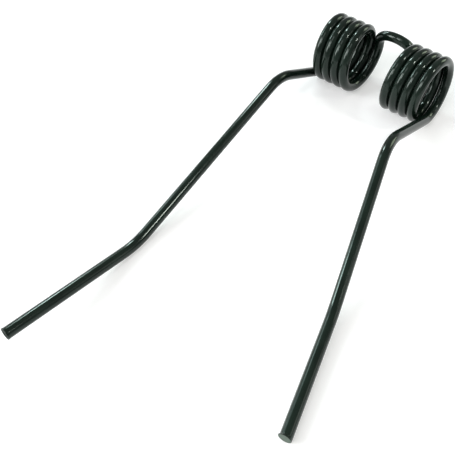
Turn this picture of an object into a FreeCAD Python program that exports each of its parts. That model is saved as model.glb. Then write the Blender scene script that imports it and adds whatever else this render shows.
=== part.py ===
import FreeCAD, Part
import os

# Rake tine: one round spring wire with two coils on a common axis, a bridge loop between them,
# and two cranked legs that end in a sheared cut.
# The coil axis lies along X, the legs run forward along -Y, and +Z is up as the tine lies at rest.
# The origin is the middle of the coil axis.

doc = FreeCAD.newDocument("rake_tine")

# Driving sizes. Lengths are in millimetres and angles in degrees.
# Each leg is given as a wire bender reads it: feed a run, roll the wire about itself, bend it round a die.
# A crank's roll starts from the side facing away from the coil axis, the other rolls from the bend before.
SIZES = [
    ("wire", 9.0, "diameter of the wire"),
    ("coil_radius", 27.0, "coil axis to wire centre"),
    ("coil_pitch", 9.3, "advance along the axis in one turn"),
    ("coil_turns", 4.37, "turns of one coil, bridge to leg"),
    ("coil_gap", 33.5, "wire centre to wire centre where the two coils begin"),
    ("bridge_angle", 17.0, "angle on the coil where the bridge begins, up from the back"),
    ("bridge_bend", 11.0, "bend radius of the two bridge corners"),
    ("bridge_arch", 23.0, "angle of the arched cross piece at its two ends"),
    ("crank_radius", 49.0, "bend radius of the crank bends"),
    ("toe_radius", 78.0, "bend radius of the toe bends"),
    ("right_stub", 73.0, "straight run from the right coil to its crank"),
    ("right_crank_roll_angle", 21.0, "roll angle before the crank bend, right leg"),
    ("right_crank_angle", 43.8, "angle of the crank bend, right leg"),
    ("right_upper", 122.0, "straight run from crank to toe bend, right leg"),
    ("right_toe_roll_angle", 168.0, "roll angle before the toe bend, right leg"),
    ("right_toe_angle", 14.15, "angle of the toe bend, right leg"),
    ("right_lower", 89.0, "straight run from toe bend to tip, right leg"),
    ("left_stub", 50.0, "straight run from the left coil to its crank"),
    ("left_crank_roll_angle", 9.0, "roll angle before the crank bend, left leg"),
    ("left_crank_angle", 35.9, "angle of the crank bend, left leg"),
    ("left_upper", 176.0, "straight run from crank to toe bend, left leg"),
    ("left_toe_roll_angle", 185.0, "roll angle before the toe bend, left leg"),
    ("left_toe_angle", 19.0, "angle of the toe bend, left leg"),
    ("left_lower", 109.8, "straight run from toe bend to tip, left leg"),
    ("cut_length", 1.8, "length over which the sheared end of the wire widens"),
    ("cut_angle", 8.0, "slant angle of the cut face"),
    ("right_cut_growth", 0.7, "growth of the radius at the right cut"),
    ("right_cut_lean", 0.7, "how far the right cut leans off the wire's axis"),
    ("right_lip_angle", 83.0, "roll angle to the side where the right cut leans"),
    ("left_cut_growth", 0.3, "growth of the radius at the left cut"),
    ("left_cut_lean", 0.6, "how far the left cut leans off the wire's axis"),
    ("left_lip_angle", 130.0, "roll angle to the side where the left cut leans"),
    ("tip_round", 0.35, "rounding of the rim of each cut face"),
]

# Formulas that follow from the sizes.
LEAD = "atan(sizes.coil_pitch / (2 * pi * sizes.coil_radius))"
CORNER_TURN = "90 - " + LEAD + " / 1deg - sizes.bridge_arch"
CROWN_SPAN = "(sizes.coil_gap / 2 - sizes.bridge_bend * (cos(" + LEAD + ") - sin(sizes.bridge_arch)))"
CROWN_RADIUS = CROWN_SPAN + " / sin(sizes.bridge_arch)"


def make_sheet(rows):
    """Write each size to its own row and give the cell its name."""
    sheet = doc.addObject("Spreadsheet::Sheet", "sizes")
    for row, (name, value, note) in enumerate(rows, start=1):
        sheet.set("A%d" % row, name)
        sheet.set("B%d" % row, str(value))
        sheet.set("C%d" % row, note)
        sheet.setAlias("B%d" % row, name)
    doc.recompute()


def turn(angle, x=0, y=0, z=0):
    """Formula of a turn about an axis through the origin."""
    rotation = "create(<<rotation>>; vector(%s; %s; %s); %s)" % (x, y, z, angle)
    return "create(<<placement>>; vector(0; 0; 0); " + rotation + ")"


def shift(x="0", y="0", z="0"):
    """Formula of a move without a turn."""
    return "create(<<placement>>; vector(%s; %s; %s); create(<<rotation>>; 0; 0; 0))" % (x, y, z)


# A frame is the formula of a placement whose Z is the way the wire heads and whose X is where it bends to.
# The half turn below swaps a frame's heading with the Y of an arc that lies in its own XY plane.
SWAP = turn("180", y=1, z=1)


def path_piece(kind, name, sizes):
    """Add one piece of the wire's centre line, with its sizes and place bound to formulas."""
    piece = doc.addObject(kind, name)
    for size, formula in sizes.items():
        piece.setExpression(size, formula)
    return piece


def run(name, start, length):
    """Straight run. Returns the frame at its end."""
    line = path_piece("Part::Line", name, {"Z2": length, "Placement": start})
    line.X1 = line.Y1 = line.Z1 = line.X2 = line.Y2 = 0
    return name + ".Placement * " + shift(z=name + ".Z2")


def bend(name, start, roll, radius, angle):
    """Round bend towards the frame's X once the wire is rolled. Returns the frame at its end."""
    place = " * ".join([start, turn(roll, z=1), shift(x=radius), SWAP])
    path_piece("Part::Circle", name, {"Radius": radius, "Angle2": angle, "Placement": place})
    return " * ".join([name + ".Placement", turn(name + ".Angle2", z=1), shift(x=name + ".Radius"), SWAP])


def coil(name, hand):
    """Coil that winds outwards from the bridge. Returns the frames at its ends, each heading away from it."""
    place = [turn("120", 1, 1, 1), turn("sizes.bridge_angle", z=1)]
    if hand < 0:
        place.append(turn("180", x=1))
    place.append(shift(z="sizes.coil_gap / 2"))
    sizes = {"Radius": "sizes.coil_radius", "Pitch": "sizes.coil_pitch",
             "Height": "sizes.coil_pitch * sizes.coil_turns", "Placement": " * ".join(place)}
    helix = path_piece("Part::Helix", name, sizes)
    helix.LocalCoord = "Left-handed" if hand > 0 else "Right-handed"
    helix.SegmentLength = 1
    inner = [name + ".Placement", shift(x="sizes.coil_radius"),
             turn("%d * (90 + %s / 1deg)" % (-hand, LEAD), x=1)]
    outer = [name + ".Placement", turn("%d * 360 * sizes.coil_turns" % -hand, z=1),
             shift(x="sizes.coil_radius", z=name + ".Height"),
             turn("%d * (90 - %s / 1deg)" % (hand, LEAD), x=1)]
    return " * ".join(inner), " * ".join(outer)


def leg(side, start):
    """Stub, crank bend, upper run, toe bend and lower run of one leg. Returns the frame where it is cut."""
    sizes = {word: "sizes." + side + "_" + word for word in
             ("stub", "crank_roll_angle", "crank_angle", "upper", "toe_roll_angle", "toe_angle", "lower")}
    end = run("stub_" + side, start, sizes["stub"])
    end = bend("crank_" + side, end, sizes["crank_roll_angle"], "sizes.crank_radius", sizes["crank_angle"])
    end = run("upper_" + side, end, sizes["upper"])
    end = bend("toe_" + side, end, sizes["toe_roll_angle"], "sizes.toe_radius", sizes["toe_angle"])
    return run("lower_" + side, end, sizes["lower"] + " - sizes.cut_length")


def centre_line():
    """Whole centre line of the wire, from the left cut to the right one. Returns it and the frames there."""
    right_inner, right_outer = coil("coil_right", 1)
    left_inner, left_outer = coil("coil_left", -1)
    right_corner = bend("corner_right", right_inner, "90", "sizes.bridge_bend", CORNER_TURN)
    bend("corner_left", left_inner, "-90", "sizes.bridge_bend", CORNER_TURN)
    bend("crown", right_corner, "0", CROWN_RADIUS, "2 * sizes.bridge_arch")
    right_tip = leg("right", right_outer)
    left_tip = leg("left", left_outer)
    outwards = ["corner", "coil", "stub", "crank", "upper", "toe", "lower"]
    left = [piece + "_left" for piece in reversed(outwards)]
    right = [piece + "_right" for piece in outwards]
    line = doc.addObject("Part::Compound", "centre_line")
    line.Links = [doc.getObject(name) for name in left + ["crown"] + right]
    return line, left_tip, right_tip


def wire_along(line, start):
    """Solid round wire along the centre line, with both ends cut square."""
    section = path_piece("Part::Circle", "section", {"Radius": "sizes.wire / 2", "Placement": start})
    doc.recompute()
    wire = doc.addObject("Part::Sweep", "bent_wire")
    wire.Sections = [section]
    wire.Spine = (line, ["Edge%d" % number for number in range(1, len(line.Shape.Edges) + 1)])
    wire.Solid = True
    wire.Frenet = False
    doc.recompute()
    return wire


def cut_end(side, tip):
    """Sheared end: the wire widens and leans to the side of its lip, and its face is slanted."""
    root = path_piece("Part::Circle", "cut_root_" + side, {"Radius": "sizes.wire / 2", "Placement": tip})
    roll = turn("sizes." + side + "_lip_angle", z=1)
    lean = shift(x="sizes." + side + "_cut_lean", z="sizes.cut_length")
    place = " * ".join([tip, roll, lean, turn("sizes.cut_angle", y=1)])
    radius = "sizes.wire / 2 + sizes." + side + "_cut_growth"
    face = path_piece("Part::Circle", "cut_face_" + side, {"Radius": radius, "Placement": place})
    end = doc.addObject("Part::Loft", "cut_end_" + side)
    end.Sections = [root, face]
    end.Solid = True
    end.Ruled = True
    return end


def joined(pieces):
    """The wire and its cut ends as one solid."""
    whole = doc.addObject("Part::MultiFuse", "cut_wire")
    whole.Shapes = pieces
    doc.recompute()
    return whole


def round_tips(wire):
    """Body of the finished tine: the wire with the rims of its two flat faces rounded."""
    body = doc.addObject("PartDesign::Body", "tine")
    body.BaseFeature = wire
    doc.recompute()
    base = body.Tip
    ends = ["Face%d" % number for number, face in enumerate(base.Shape.Faces, start=1)
            if isinstance(face.Surface, Part.Plane)]
    rims = body.newObject("PartDesign::Fillet", "tip_rims")
    rims.Base = (base, ends)
    rims.setExpression("Radius", "sizes.tip_round")
    doc.recompute()
    return body


def check(parts):
    """Stop unless each object of the document is up to date and each part is one sound solid."""
    for thing in doc.Objects:
        if "Invalid" in thing.State or "Error" in thing.State:
            raise RuntimeError("%s is %s" % (thing.Name, thing.State))
    for part in parts:
        if part.Shape.isNull() or not part.Shape.isValid() or len(part.Shape.Solids) != 1:
            raise RuntimeError("%s isn't one sound solid" % part.Label)


make_sheet(SIZES)
line, left_tip, right_tip = centre_line()
wire = wire_along(line, left_tip)
tine = round_tips(joined([wire, cut_end("left", left_tip), cut_end("right", right_tip)]))
tine.Label = "tine_wire"
check([tine])

os.makedirs("parts", exist_ok=True)
tine.Shape.exportStep("parts/" + tine.Label + ".step")
print(tine.Label, "volume", round(tine.Shape.Volume), "mm3, wire length", round(line.Shape.Length), "mm")
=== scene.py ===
from math import atan, cos, degrees, pi, radians, sin, tan

import bpy
import numpy as np
from mathutils import Matrix, Vector


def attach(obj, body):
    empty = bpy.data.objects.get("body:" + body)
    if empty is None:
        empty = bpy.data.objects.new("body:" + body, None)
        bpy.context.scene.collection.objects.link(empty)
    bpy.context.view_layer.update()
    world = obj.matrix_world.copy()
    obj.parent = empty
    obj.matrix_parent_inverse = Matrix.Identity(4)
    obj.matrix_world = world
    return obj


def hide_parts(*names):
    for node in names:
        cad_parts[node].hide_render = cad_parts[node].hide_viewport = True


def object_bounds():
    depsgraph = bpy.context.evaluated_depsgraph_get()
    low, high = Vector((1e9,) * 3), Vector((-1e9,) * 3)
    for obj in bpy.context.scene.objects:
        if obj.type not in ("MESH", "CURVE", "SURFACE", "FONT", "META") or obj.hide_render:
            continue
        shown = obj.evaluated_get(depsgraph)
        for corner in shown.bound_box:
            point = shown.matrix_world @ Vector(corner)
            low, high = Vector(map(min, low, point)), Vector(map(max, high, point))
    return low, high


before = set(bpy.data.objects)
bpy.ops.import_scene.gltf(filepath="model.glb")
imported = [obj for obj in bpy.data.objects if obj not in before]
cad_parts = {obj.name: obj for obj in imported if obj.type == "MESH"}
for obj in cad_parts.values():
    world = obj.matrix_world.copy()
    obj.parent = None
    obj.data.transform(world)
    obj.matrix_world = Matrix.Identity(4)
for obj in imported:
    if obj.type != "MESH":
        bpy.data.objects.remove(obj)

# Rake tine: the bent spring wire in dark glossy enamel, lying on a pale floor.
# Lengths are in metres and angles in degrees.
# The frame is the part's own: coil axis along X, legs along -Y, +Z up.

CAD_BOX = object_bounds()

# Sizes of the wire, the same as in the part.
WIRE = 0.0090
COIL_RADIUS = 0.0270
COIL_PITCH = 0.0093
COIL_TURNS = 4.37
COIL_GAP = 0.0335
BRIDGE_PLACE = 17.0
BRIDGE_BEND = 0.0110
BRIDGE_ARCH = 23.0
CRANK_RADIUS = 0.0490
TOE_RADIUS = 0.0780
LEGS = {
    "right": {"hand": 1, "stub": 0.073, "crank_roll": 21.0, "crank": 43.8, "upper": 0.122,
              "toe_roll": 168.0, "toe": 14.15, "lower": 0.089},
    "left": {"hand": -1, "stub": 0.050, "crank_roll": 9.0, "crank": 35.9, "upper": 0.176,
             "toe_roll": 185.0, "toe": 19.0, "lower": 0.1098},
}
CUT_LENGTH = 0.0018
CUT_SLANT = 8.0
CUTS = {
    "right": {"growth": 0.0007, "lean": 0.0007, "lip_roll": 83.0},
    "left": {"growth": 0.0003, "lean": 0.0006, "lip_roll": 130.0},
}
RIM_ROUND = 0.00035

# Fineness of the wire's surface: corners around it, and degrees or metres from one ring to the next.
AROUND = 40
COIL_STEP = 3.0
BEND_STEP = 2.0
RUN_STEP = 0.006
EDGE_STEP = 0.0003

# Rings of a cut: shares of the way along its side, number on its rim, and widths on its face.
SIDE_SHARES = (0.15, 0.45, 0.8)
RIM_RINGS = 7
FACE_SHARES = (0.97, 0.65, 0.3)

# Enamel: its two tones, its gloss, what a dull patch adds to the roughness, and its bumps.
TONES = [(0.0040, 0.0090, 0.0062, 1), (0.0072, 0.0145, 0.0102, 1)]
GLOSS_TINT = (0.88, 1.0, 0.94, 1)
GLOSS_IOR = 1.4
GLOSS_ROUGHNESS = 0.13
DULL_ROUGHNESS = 0.06
PEEL_SHARE = 0.15
BUMP_STRENGTH = 0.03
BUMP_HEIGHT = 0.0006

# Cut faces: the tones of the pale one, whose colour is a painted reflection of the pale floor, and of
# the dark one, and the X from which a cut is the pale one.
PAINTED_REFLECTION_TONES = [(0.10, 0.135, 0.11, 1), (0.18, 0.22, 0.19, 1)]
DARK_TONES = [(0.006, 0.012, 0.009, 1), (0.012, 0.020, 0.016, 1)]
PAINTED_REFLECTION_FROM = 0.01
CUT_ROUGHNESS = 0.6
CUT_SPECULAR = 0.05

# Noise behind each pattern: lumps a metre, and the span of noise in which the pattern comes up.
TONE_LUMPS = 55.0
TONE_SPAN = (0.35, 0.70)
DULL_LUMPS = 130.0
DULL_SPAN = (0.56, 0.74)
WAVE_LUMPS = 90.0
PEEL_LUMPS = 420.0
GRAIN_LUMPS = 900.0

# Camera at the photograph's place. A focal length in pixels is that of an image of IMAGE_SIZE.
IMAGE_SIZE = 455
FOCAL_PIXELS = 700.0
SENSOR_MM = 36.0
NEAREST = 0.01
EYE = Vector((0.2202, -0.4873, 0.4033))
TARGET = Vector((0.0090, -0.2330, 0.0))
CAMERA_ROLL = -1.2

# Floor and sky. The sky is palest at the horizon, and even above HAZE_TOP, the sine of a height angle.
WHITE = (1.0, 1.0, 1.0)
FLOOR_SIZE = 40.0
FLOOR_GREY = 0.70
FLOOR_TOP_UP = 0.38
SKY_LEVEL = 0.32
HORIZON_LEVEL = 0.72
HAZE_TOP = 0.2

# Soft boxes, all at one distance from one place on the tine, which they face.
LAMP_DISTANCE = 4.0
LAMP_AIM = Vector((0.02, -0.12, 0.0))
MINT = (0.83, 1.0, 0.99)
WARM = (1.0, 0.98, 0.93)
OLIVE = (0.90, 1.0, 0.76)

# Each row: name, azimuth from -Y towards +X, elevation, width and height as angles, level and colour.
LAMPS = [
    ("left_window", -97, 26, 18, 26, 1.7, MINT),
    ("left_window_core", -86, 26, 5, 20, 20.0, MINT),
    ("left_window_far_edge", -103, 27, 3, 18, 5.0, MINT),
    ("left_low_window", -90, 5, 12, 8, 3.0, MINT),
    ("left_back_window", -124, 32, 8, 12, 5.0, MINT),
    ("left_back_core", -120, 32, 5, 14, 29.0, MINT),
    ("front_left_box", -40, 28, 30, 34, 1.8, WHITE),
    ("front_left_core", -38, 30, 18, 30, 9.0, WHITE),
    ("front_box", -10, 40, 26, 6, 2.8, WHITE),
    ("front_core", -8, 44, 10, 20, 9.0, WHITE),
    ("high_front_box", -4, 66, 16, 14, 3.2, WHITE),
    ("right_strip", 110, 46, 5, 9, 50.0, WARM),
    ("back_right_box", 126, 22, 14, 22, 1.4, WARM),
    ("back_box", 160, 20, 16, 22, 4.0, OLIVE),
]


class Wire:
    """Centre line of a wire as a bender makes it: points, and two directions at each of them.

    side and heading are unit vectors, and a bend turns the heading towards side. The mesh must not
    twist where the wire is rolled, so twist keeps the angle from side to the direction from which
    the mesh counts its corners.
    """

    def __init__(self, start, side, heading):
        self.place = np.array(start, float)
        self.side = np.array(side, float)
        self.heading = np.array(heading, float)
        self.twist = 0.0
        self.points = [self.place[None]]
        self.sides = [self.side[None]]
        self.headings = [self.heading[None]]

    def add(self, points, sides, headings):
        """Append points, with the mesh's own first direction turned back by the twist."""
        across = np.cross(headings, sides)
        self.points.append(points)
        self.sides.append(cos(self.twist) * sides + sin(self.twist) * across)
        self.headings.append(headings)
        self.place, self.side, self.heading = points[-1], sides[-1], headings[-1]

    def roll(self, angle):
        """Turn side about the heading."""
        turn = radians(angle)
        self.side = cos(turn) * self.side + sin(turn) * np.cross(self.heading, self.side)
        self.twist -= turn

    def run(self, length):
        """Straight run: place + distance * heading."""
        steps = max(1, round(length / RUN_STEP))
        distance = np.linspace(0, length, steps + 1)[1:, None]
        still = np.ones_like(distance)
        self.add(self.place + distance * self.heading, still * self.side, still * self.heading)

    def bend(self, radius, angle):
        """Arc: place + radius * (sin t * heading + (1 - cos t) * side).

        Both directions turn by t.
        """
        steps = max(2, round(angle / BEND_STEP))
        t = np.linspace(0, radians(angle), steps + 1)[1:, None]
        points = self.place + radius * (np.sin(t) * self.heading + (1 - np.cos(t)) * self.side)
        headings = np.cos(t) * self.heading + np.sin(t) * self.side
        sides = np.cos(t) * self.side - np.sin(t) * self.heading
        self.add(points, sides, headings)

    def coil(self, hand):
        """Helix about the X axis: radius * (cos a, sin a) in Y and Z, while x moves out by the pitch.

        The angle a falls from the place where the bridge begins.
        """
        steps = round(360 * COIL_TURNS / COIL_STEP)
        t = np.linspace(0, 2 * pi * COIL_TURNS, steps + 1)[1:]
        a = radians(BRIDGE_PLACE) - t
        nothing = np.zeros_like(t)
        advance = hand * COIL_PITCH / (2 * pi)
        x = hand * COIL_GAP / 2 + advance * t
        sides = np.stack([nothing, np.cos(a), np.sin(a)], axis=1)
        points = COIL_RADIUS * sides + np.stack([x, nothing, nothing], axis=1)
        ahead = COIL_RADIUS * np.stack([nothing, np.sin(a), -np.cos(a)], axis=1)
        ahead[:, 0] = advance
        self.add(points, sides, ahead / np.linalg.norm(ahead, axis=1, keepdims=True))

    def rings(self):
        """Rings of the surface: point + radius * (cos p * side + sin p * across), p once around."""
        points = np.vstack(self.points)[:, None]
        sides = np.vstack(self.sides)[:, None]
        across = np.cross(np.vstack(self.headings)[:, None], sides)
        p = np.linspace(0, 2 * pi, AROUND, endpoint=False)[:, None]
        return points + WIRE / 2 * (np.cos(p) * sides + np.sin(p) * across)


def cut_rings(wire, growth, lean, lip_roll):
    """Sheared end of the wire as rings of points.

    The side is a ruled surface from the wire's round section to the wider and slanted circle of the
    cut face. The rim is an arc of one radius, tangent to the side and to the face. The face is that
    circle drawn in to its middle.
    """
    last = wire.rings()[-1]
    wire.roll(lip_roll)
    lip = wire.side
    across = np.cross(wire.heading, lip)
    slant = radians(CUT_SLANT)
    middle = wire.place + lean * lip + CUT_LENGTH * wire.heading
    spoke = (last - wire.place) / (WIRE / 2)
    towards_lip = (spoke @ lip)[:, None]
    towards_across = (spoke @ across)[:, None]
    out = towards_lip * (cos(slant) * lip - sin(slant) * wire.heading) + towards_across * across
    edge = middle + (WIRE / 2 + growth) * out

    # The rim's arc leaves the side and meets the face equally far from the edge between them.
    back = last - edge
    back /= np.linalg.norm(back, axis=1, keepdims=True)
    half = np.arccos(np.sum(-back * out, axis=1, keepdims=True)) / 2
    bisector = (back - out) / (2 * np.cos(half))
    centre = edge + bisector * RIM_ROUND / np.sin(half)
    first = edge + back * RIM_ROUND / np.tan(half) - centre
    final = edge - out * RIM_ROUND / np.tan(half) - centre
    sweep = pi - 2 * half
    t = np.linspace(0, 1, RIM_RINGS)[:, None, None]
    rim = centre + (np.sin((1 - t) * sweep) * first + np.sin(t * sweep) * final) / np.sin(sweep)

    side = last + np.array(SIDE_SHARES)[:, None, None] * (rim[0] - last)
    face = middle + np.array(FACE_SHARES)[:, None, None] * (rim[-1] - middle)
    return np.concatenate([side, rim, face])


def half_wire(side, hand, stub, crank_roll, crank, upper, toe_roll, toe, lower):
    """One half of the tine's surface as rings, from the top of the bridge loop to the face of its cut.

    The loop is an arc, the crown, and a corner that ends along the coil's own lead. The crown's radius
    makes the two together as wide as half the gap between the coils, and rise is how far the top of
    the loop stands above the place where the coil begins.
    """
    lead = atan(COIL_PITCH / (2 * pi * COIL_RADIUS))
    arch = radians(BRIDGE_ARCH)
    place = radians(BRIDGE_PLACE)
    crown = (COIL_GAP / 2 - BRIDGE_BEND * (cos(lead) - sin(arch))) / sin(arch)
    rise = crown * (1 - cos(arch)) + BRIDGE_BEND * (cos(arch) - sin(lead))
    out = np.array([0, cos(place), sin(place)])
    up = np.array([0, -sin(place), cos(place)])

    wire = Wire(COIL_RADIUS * out + rise * up, -up, (hand, 0, 0))
    wire.bend(crown, BRIDGE_ARCH)
    wire.bend(BRIDGE_BEND, 90 - degrees(lead) - BRIDGE_ARCH)
    wire.roll(90 * hand)
    wire.coil(hand)
    wire.run(stub)
    wire.roll(crank_roll)
    wire.bend(CRANK_RADIUS, crank)
    wire.run(upper)
    wire.roll(toe_roll)
    wire.bend(TOE_RADIUS, toe)
    wire.run(lower - CUT_LENGTH - EDGE_STEP)
    wire.run(EDGE_STEP)
    return np.concatenate([wire.rings(), cut_rings(wire, **CUTS[side])])


def bent_wire():
    """The tine's wire: a closed tube of rings, from the left cut face to the right one.

    Corner k of a left ring is corner -k of the right, and each end is closed by a point at the middle
    of its face. The attribute bare is 1 on the two cut faces.
    """
    right = half_wire("right", **LEGS["right"])
    left = half_wire("left", **LEGS["left"])
    turned = np.roll(left[:0:-1, ::-1], 1, axis=1)
    grid = np.concatenate([turned, right])
    count = len(grid)
    middles = [grid[0].mean(0), grid[-1].mean(0)]
    vertices = np.vstack([grid.reshape(-1, 3), middles])

    row, column = np.meshgrid(np.arange(count - 1), np.arange(AROUND), indexing="ij")
    here = row * AROUND + column
    beside = row * AROUND + (column + 1) % AROUND
    quads = np.stack([here, beside, beside + AROUND, here + AROUND], axis=-1).reshape(-1, 4)
    k = np.arange(AROUND)
    next_k = (k + 1) % AROUND
    last_ring = (count - 1) * AROUND
    first_middle = np.full(AROUND, count * AROUND)
    first_fan = np.stack([first_middle, next_k, k], axis=1)
    last_fan = np.stack([first_middle + 1, last_ring + k, last_ring + next_k], axis=1)

    mesh = bpy.data.meshes.new("bent_wire")
    mesh.from_pydata(vertices.tolist(), [], quads.tolist() + first_fan.tolist() + last_fan.tolist())
    mesh.polygons.foreach_set("use_smooth", np.ones(len(mesh.polygons), bool))
    bare = np.zeros(len(vertices))
    bare[:len(FACE_SHARES) * AROUND] = 1
    bare[(count - len(FACE_SHARES)) * AROUND:] = 1
    mesh.attributes.new("bare", "FLOAT", "POINT").data.foreach_set("value", bare)
    mesh.update()
    wire = bpy.data.objects.new("bent_wire", mesh)
    bpy.context.scene.collection.objects.link(wire)
    return wire


class Value:
    """A socket of a shader graph. Sums, differences and products of values add their Math nodes."""

    def __init__(self, graph, socket):
        self.graph = graph
        self.socket = socket

    def math(self, operation, first, second):
        """Math node of two values or numbers."""
        return self.graph.node("ShaderNodeMath", {"operation": operation}, {0: first, 1: second})

    def __add__(self, other):
        return self.math("ADD", self, other)

    def __radd__(self, other):
        return self.math("ADD", other, self)

    def __sub__(self, other):
        return self.math("SUBTRACT", self, other)

    def __rsub__(self, other):
        return self.math("SUBTRACT", other, self)

    def __mul__(self, other):
        return self.math("MULTIPLY", self, other)

    def __rmul__(self, other):
        return self.math("MULTIPLY", other, self)

    def clamp(self, low, high):
        """This value kept between two others."""
        return self.graph.node("ShaderNodeClamp", {}, {"Value": self, "Min": low, "Max": high})

    def ramp(self, low, high):
        """0 below low, 1 above high, and smooth between them."""
        return self.graph.node("ShaderNodeMapRange", {"interpolation_type": "SMOOTHSTEP"},
                               {"Value": self, "From Min": low, "From Max": high})


class Graph:
    """Node tree of a material or of the world."""

    def __init__(self, owner):
        owner.use_nodes = True
        self.tree = owner.node_tree
        self.tree.nodes.clear()

    def node(self, kind, settings, inputs, output=0):
        """Add a node of any kind and return one of its outputs, if it has any.

        settings are its properties, and inputs are the values or links of its sockets.
        """
        node = self.tree.nodes.new(kind)
        for name, value in settings.items():
            setattr(node, name, value)
        for name, value in inputs.items():
            if isinstance(value, Value):
                self.tree.links.new(value.socket, node.inputs[name])
            else:
                node.inputs[name].default_value = value
        return Value(self, node.outputs[output]) if len(node.outputs) else None

    def noise(self, place, lumps, detail=2.0, roughness=0.5):
        """Noise from 0 to 1, with so many lumps a metre."""
        return self.node("ShaderNodeTexNoise", {},
                         {"Vector": place, "Scale": lumps, "Detail": detail, "Roughness": roughness})

    def mix_colour(self, share, first, second):
        """Blend of two colours. Their sockets are numbers 6 and 7, and the blend is output 2."""
        return self.node("ShaderNodeMix", {"data_type": "RGBA"},
                         {0: share, 6: first, 7: second}, output=2)


def enamel():
    """Dark green-black enamel: glossy, uneven in tone and a little wavy, with a few duller patches.

    A faint orange peel lies on the waves. The two cut faces, where the mesh attribute bare is 1, are
    matt: the one on the shorter leg, at +X, has a grey green painted reflection of the floor in its
    colour, and the one on the longer leg is dark.
    """
    material = bpy.data.materials.new("green_black_enamel")
    graph = Graph(material)
    place = graph.node("ShaderNodeTexCoord", {}, {}, output="Object")

    tone = graph.noise(place, TONE_LUMPS, detail=3.0).ramp(*TONE_SPAN)
    dull = graph.noise(place, DULL_LUMPS, detail=4.0, roughness=0.6).ramp(*DULL_SPAN)
    peel = graph.noise(place, PEEL_LUMPS)
    wave = graph.noise(place, WAVE_LUMPS, detail=1.0)
    bump = graph.node("ShaderNodeBump", {}, {
        "Strength": BUMP_STRENGTH, "Distance": BUMP_HEIGHT, "Height": peel * PEEL_SHARE + wave})
    gloss = graph.node("ShaderNodeBsdfPrincipled", {}, {
        "Base Color": graph.mix_colour(tone, *TONES),
        "Roughness": GLOSS_ROUGHNESS + dull * DULL_ROUGHNESS,
        "IOR": GLOSS_IOR, "Specular Tint": GLOSS_TINT, "Normal": bump})

    across = graph.node("ShaderNodeSeparateXYZ", {}, {"Vector": place}, output="X")
    grain = graph.noise(place, GRAIN_LUMPS, detail=3.0)
    # Painted reflection: the pale cut face's grey green stands in for the floor it would reflect.
    pale = graph.mix_colour(grain, *PAINTED_REFLECTION_TONES)
    dark = graph.mix_colour(grain, *DARK_TONES)
    cut = graph.node("ShaderNodeBsdfPrincipled", {}, {
        "Base Color": graph.mix_colour(across.ramp(0.0, PAINTED_REFLECTION_FROM), dark, pale),
        "Roughness": CUT_ROUGHNESS, "Specular IOR Level": CUT_SPECULAR})

    bare = graph.node("ShaderNodeAttribute", {"attribute_name": "bare"}, {}, output="Fac")
    shader = graph.node("ShaderNodeMixShader", {}, {0: bare, 1: gloss, 2: cut})
    graph.node("ShaderNodeOutputMaterial", {}, {"Surface": shader})
    return material


def pale_floor():
    """Pale matt floor.

    A little light of its own, for the rays that see it, takes its lit part to white.
    """
    bpy.ops.mesh.primitive_plane_add(size=FLOOR_SIZE, location=(0, 0, CAD_BOX[0][2]))
    floor = bpy.context.object
    floor.name = "floor"
    material = bpy.data.materials.new("pale_floor")
    graph = Graph(material)
    camera_ray, glossy_ray, clear_ray = (
        graph.node("ShaderNodeLightPath", {}, {}, output=ray)
        for ray in ("Is Camera Ray", "Is Glossy Ray", "Is Transmission Ray"))
    seen = (camera_ray + glossy_ray + clear_ray).clamp(0.0, 1.0)
    matt = graph.node("ShaderNodeBsdfDiffuse", {}, {"Color": (FLOOR_GREY, FLOOR_GREY, FLOOR_GREY, 1)})
    top_up = seen * FLOOR_TOP_UP
    glow = graph.node("ShaderNodeEmission", {}, {"Color": (*WHITE, 1), "Strength": top_up})
    both = graph.node("ShaderNodeAddShader", {}, {0: matt, 1: glow})
    graph.node("ShaderNodeOutputMaterial", {}, {"Surface": both})
    floor.data.materials.append(material)


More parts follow.
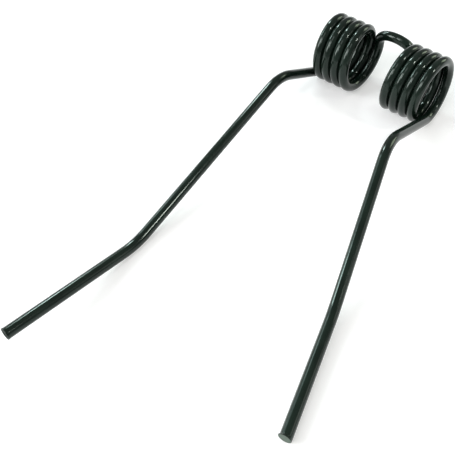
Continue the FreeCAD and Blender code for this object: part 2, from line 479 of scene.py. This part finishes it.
def lamp(name, azimuth, elevation, width, height, level, colour):
    """Soft box that faces the tine from a place in the sky.

    Its power is level * pi * area, which makes its face as bright as level, where 1 is white.
    """
    azimuth = radians(azimuth)
    elevation = radians(elevation)
    away = Vector((cos(elevation) * sin(azimuth), -cos(elevation) * cos(azimuth), sin(elevation)))
    data = bpy.data.lights.new(name, "AREA")
    data.shape = "RECTANGLE"
    data.size = 2 * LAMP_DISTANCE * tan(radians(width / 2))
    data.size_y = 2 * LAMP_DISTANCE * tan(radians(height / 2))
    data.energy = level * pi * data.size * data.size_y
    data.color = colour
    box = bpy.data.objects.new(name, data)
    box.location = LAMP_AIM + LAMP_DISTANCE * away
    box.rotation_euler = away.to_track_quat("Z", "Y").to_euler()
    bpy.context.scene.collection.objects.link(box)


def lights():
    """Soft boxes round the tine, and a grey sky that is paler towards the horizon."""
    for row in LAMPS:
        lamp(*row)
    world = bpy.data.worlds.new("studio")
    bpy.context.scene.world = world
    graph = Graph(world)
    way = graph.node("ShaderNodeTexCoord", {}, {}, output="Generated")
    height = graph.node("ShaderNodeSeparateXYZ", {}, {"Vector": way}, output="Z")
    level = HORIZON_LEVEL - height.ramp(0.0, HAZE_TOP) * (HORIZON_LEVEL - SKY_LEVEL)
    sky = graph.node("ShaderNodeBackground", {}, {"Color": (*WHITE, 1), "Strength": level})
    graph.node("ShaderNodeOutputWorld", {}, {"Surface": sky})


def camera():
    """Camera at the photograph's place, looking from EYE at TARGET."""
    data = bpy.data.cameras.new("camera")
    data.sensor_width = SENSOR_MM
    data.lens = SENSOR_MM * FOCAL_PIXELS / IMAGE_SIZE
    data.clip_start = NEAREST
    thing = bpy.data.objects.new("camera", data)
    aim = (TARGET - EYE).to_track_quat("-Z", "Y").to_matrix().to_4x4()
    thing.matrix_world = Matrix.Translation(EYE) @ aim @ Matrix.Rotation(radians(CAMERA_ROLL), 4, "Z")
    bpy.context.scene.collection.objects.link(thing)
    bpy.context.scene.camera = thing


def dress():
    """The finished wire in place of the plain one."""
    wire = bent_wire()
    wire.data.materials.append(enamel())
    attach(wire, "root")
    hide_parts("tine_wire")


dress()
pale_floor()
lights()
camera()
bpy.context.scene.view_settings.view_transform = "Standard"
